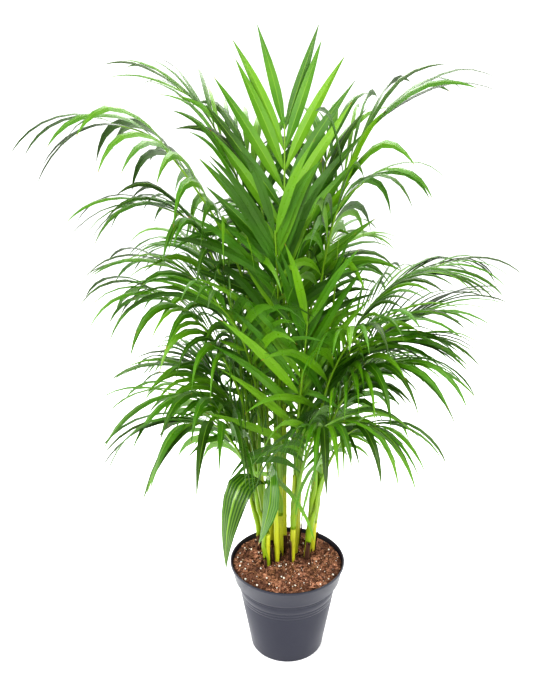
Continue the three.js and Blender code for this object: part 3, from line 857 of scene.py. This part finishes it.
def handOf(line, leaflet):
    i = alongStalk(line, leaflet["root"])
    ahead = line[min(i + 1, len(line) - 1)]["centre"] - line[max(i - 1, 0)]["centre"]
    out = middle([leaflet["widest"][0], leaflet["widest"][2]]) - leaflet["root"]
    return 1 if line[i]["rise"].cross(ahead).dot(out) > 0 else -1


def halfway(first, second):
    # the leaflet that stands between two neighbours, if they lie alike
    ways = [(leaflet["tip"] - leaflet["root"]).normalized() for leaflet in (first, second)]
    apart = (first["root"] - second["root"]).length
    if apart > frondShape["farApart"] or ways[0].dot(ways[1]) < frondShape["alike"]:
        return None
    made = {part: mix(first[part], second[part], 0.5) for part in ("root", "tip")}
    for part in ("widest", "waist"):
        near, far = first[part], second[part]
        if (near[2] - near[0]).dot(far[2] - far[0]) < 0:
            far = far[::-1]
        made[part] = tuple(mix(a, b, 0.5) for a, b in zip(near, far))
    made["share"] = frondShape["betweenWidth"]
    return made


def filledOut(leaflets, line):
    # more leaflets, one between each two that are neighbours on one side; the top fronds are open
    more = list(leaflets)
    if line[-1]["centre"].z > frondShape["sparseAbove"]:
        return [{**leaflet, "share": frondShape["topWidth"]} for leaflet in leaflets]
    for hand in (-1, 1):
        side = [leaflet for leaflet in leaflets if handOf(line, leaflet) == hand]
        side.sort(key=lambda leaflet: alongStalk(line, leaflet["root"]))
        for order, made in enumerate(map(halfway, side, side[1:])):
            if made and scatter(order * hand, len(leaflets)) > frondShape["leftEmpty"] * 2 - 1:
                more.append(made)
    return more


earlyShape = {
    "sideways": {"widest": 0.6, "waist": 0.42, "tip": 0.16}, "drop": 1.3, "wide": 0.05,
}


def hung(leaflet, line, shape):
    # an early leaf's lobe, hanging close to its stalk with its face outwards
    joint = line[-1]["centre"]
    out = Vector((joint.x, joint.y, 0)).normalized()
    side = up.cross(out)

    def moved(part, spot):
        offset = spot - joint
        across = offset.dot(side)
        fall = min(offset.z, 0) * (shape["drop"] - 1)
        return spot + side * across * (shape["sideways"][part] - 1) + up * fall

    made = {"root": leaflet["root"], "tip": moved("tip", leaflet["tip"]), "share": 1}
    for part, wide in (("widest", shape["wide"]), ("waist", shape["wide"] * 0.7)):
        centre = moved(part, middle([leaflet[part][0], leaflet[part][2]]))
        edge = side * wide / 2
        made[part] = (centre - edge, centre + out * 0.001, centre + edge)
    return made


def leafKnots(leaflet):
    a, _, b = leaflet["widest"]
    c, _, d = leaflet["waist"]
    return [leaflet["root"], (a + b) / 2, (c + d) / 2, leaflet["tip"]]


def bladeUpper(section, way):
    left, keel, right = section
    return squareTo(keel - (left + right) / 2, way)


def addBlade(bm, leaflet, number, columns, outline, fold, pleats):
    knots = leafKnots(leaflet)
    chords = [(b - a) for a, b in zip(knots, knots[1:])]
    length = sum(chord.length for chord in chords)
    slopes = [1.5 * chords[0] - 0.5 * chords[1], (chords[0] + chords[1]) / 2,
              (chords[1] + chords[2]) / 2, 1.5 * chords[2] - 0.5 * chords[1]]
    width = (leaflet["widest"][2] - leaflet["widest"][0]).length
    width *= leaflet.get("share", frondShape["fullWidth"])
    uppers = [bladeUpper(leaflet[part], slope.normalized())
              for part, slope in (("widest", slopes[1]), ("waist", slopes[2]))]
    twist = math.radians(frondShape["twist"]) * scatter(number, 11)
    wave = frondShape["wave"] * scatter(number, 17)
    stations = []
    for share, wide in outline:
        t = min(share * 3, 2.999)
        i = int(t)
        f = t - i
        spot = ((2 * f ** 3 - 3 * f ** 2 + 1) * knots[i] + (f ** 3 - 2 * f ** 2 + f) * slopes[i]
                + (3 * f ** 2 - 2 * f ** 3) * knots[i + 1] + (f ** 3 - f ** 2) * slopes[i + 1])
        way = mix(slopes[i], slopes[i + 1], f).normalized()
        lean = min(max(t - 1, 0), 1)
        rise = squareTo(mix(uppers[0], uppers[1], lean), way)
        rise = Matrix.Rotation(twist * share ** 2, 3, way) @ rise
        side = rise.cross(way)
        spot = spot + side * wave * length * math.sin(math.pi * share)
        stations.append((spot, side, rise, wide * width / 2))
    last = len(stations)
    thick = frondShape["thick"]

    def place(column, row):
        if row == 0:
            return stations[0][0]
        spot, side, rise, half = stations[row - 1]
        top = column <= columns
        across = (column if top else 2 * columns - column) * 2 / columns - 1
        height = fold * half * (1 - abs(across))
        step = column if top else 2 * columns - column
        height += pleats * half * (1 if step % 2 else 0)
        if not top:
            height -= min(thick, half * 0.3)
        return spot + side * (across * half) + rise * (height - fold * half * 0.5)

    ridges = (0, columns // 2, columns, 3 * columns // 2)
    wrapGrid(bm, 2 * columns, last, place, sharp=ridges, uvFrom=float(number))


def nearestCane(place):
    def away(row):
        centre, _ = caneAt(row, place.z)
        return (centre - place).length
    return min(caneRows.values(), key=away)


def addStalk(bm, line, number):
    shape = frondShape
    foot = line[0]
    row = nearestCane(foot["centre"])
    axis = (row[1] - row[0]).normalized()
    onAxis, caneRadius = caneAt(row, foot["centre"].z)
    snug = caneRadius + shape["sheathGap"] + shape["sheathStep"] * (number % 4)
    firm = foot["radius"]
    low = shape["sheathLow"] * (1 + 0.25 * scatter(number, 2))
    centres = [
        (onAxis - axis * low, snug),
        (onAxis - axis * low * 0.55, snug + 0.0008),
        (mix(onAxis, foot["centre"], 0.3) - axis * low * 0.2, snug + 0.001),
        (mix(onAxis, foot["centre"], 0.75) + axis * 0.008, mix(snug, firm, 0.6)),
    ]
    stops = [(centre, radius, foot["rise"]) for centre, radius in centres]
    rest = line[1:]
    i = 0
    while i < len(rest):
        here = rest[i]
        if here["rooted"] and i + 1 < len(rest) and rest[i + 1]["rooted"]:
            both = (here["centre"] + rest[i + 1]["centre"]) / 2
            stops.append((both, here["radius"] * 0.92, here["rise"]))
            i += 2
        else:
            stops.append((here["centre"], here["radius"], here["rise"]))
            i += 1
    stations = []
    for place, way, at in smoothPath([stop[0] for stop in stops], shape["stalkSteps"]):
        i = min(int(at), len(stops) - 2)
        radius = mix(stops[i][1], stops[i + 1][1], at - i)
        rise = squareTo(mix(stops[i][2], stops[i + 1][2], at - i), way)
        stations.append((place, rise.cross(way), rise, radius))

    def channelled(angle, share):
        top = max(math.sin(angle), 0) ** 6
        size = 1 - shape["groove"] * top * min(max((share - 0.12) * 6, 0), 1)
        return size * math.cos(angle), size * math.sin(angle)

    tube(bm, shape["stalkColumns"], stations, channelled, material=1, uvFrom=0.0)


def makeFrond(name, number):
    leaflets, line = readFrond(name)
    early = name.startswith("early")
    bm = bmesh.new()
    addStalk(bm, line, number)
    if name == "early_leaf_1":
        blades = [hung(leaflet, line, earlyShape) for leaflet in leaflets]
    else:
        blades = leaflets if early else filledOut(leaflets, line)
    blade = earlyBlade if early else leafletBlade
    for order, leaflet in enumerate(blades):
        addBlade(bm, leaflet, number * frondShape["mostBlades"] + order, *blade)
    toPiece(f"areca_{name}", bm, [pleatedLeaf if early else leaf, stalk], [name])
    return len(blades)


leafletCount = 0
for number, name in enumerate(numbered("early_leaf") + numbered("frond")):
    leafletCount += makeFrond(name, number)
print("fronds made,", leafletCount, "leaflets")
